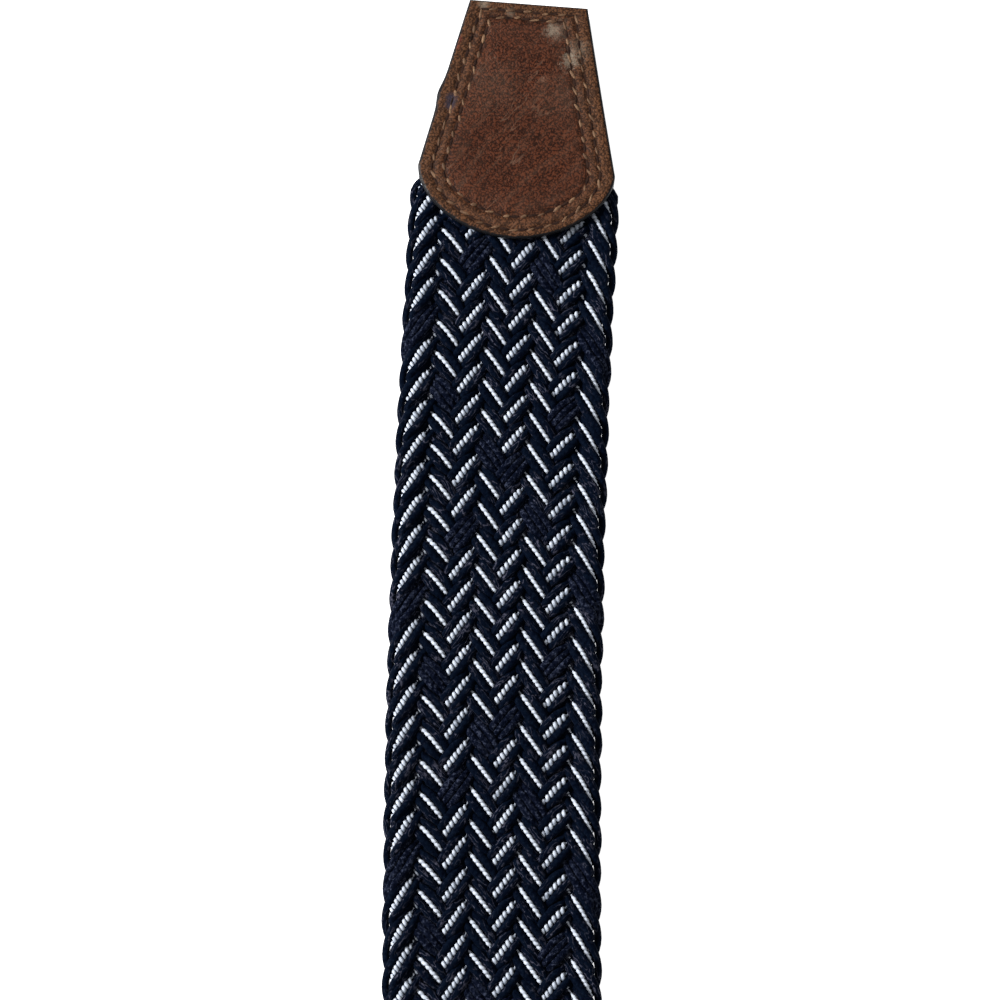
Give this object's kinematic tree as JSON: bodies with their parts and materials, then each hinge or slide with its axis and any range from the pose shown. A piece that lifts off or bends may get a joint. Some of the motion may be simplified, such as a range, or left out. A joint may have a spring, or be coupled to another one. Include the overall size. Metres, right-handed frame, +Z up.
{
  "type": "braided belt",
  "caption": "Navy and white braided elastic belt with stitched dark brown leather ends, a leather keeper loop and a plain metal pin buckle, laid out straight and flat.",
  "frame": {"origin": "centre of the belt's footprint, on the surface that it lies on", "axes": "+Y along the belt towards its tip, +X across it to the right in the picture, +Z up from its face"},
  "size_m": [0.047, 1, 0.0123],
  "materials": {
    "elastic_cord": "matte navy cord with white cords braided in",
    "belt_leather": "satin dark brown leather with dark painted edges",
    "buckle_metal": "satin nickel"
  },
  "bodies": {
    "root": {"braided_strap": "elastic_cord", "tip_leather_front": "belt_leather", "tip_leather_back": "belt_leather", "buckle_leather": "belt_leather", "keeper_loop": "belt_leather", "pin_buckle": "buckle_metal"}
  },
  "joints": []
}
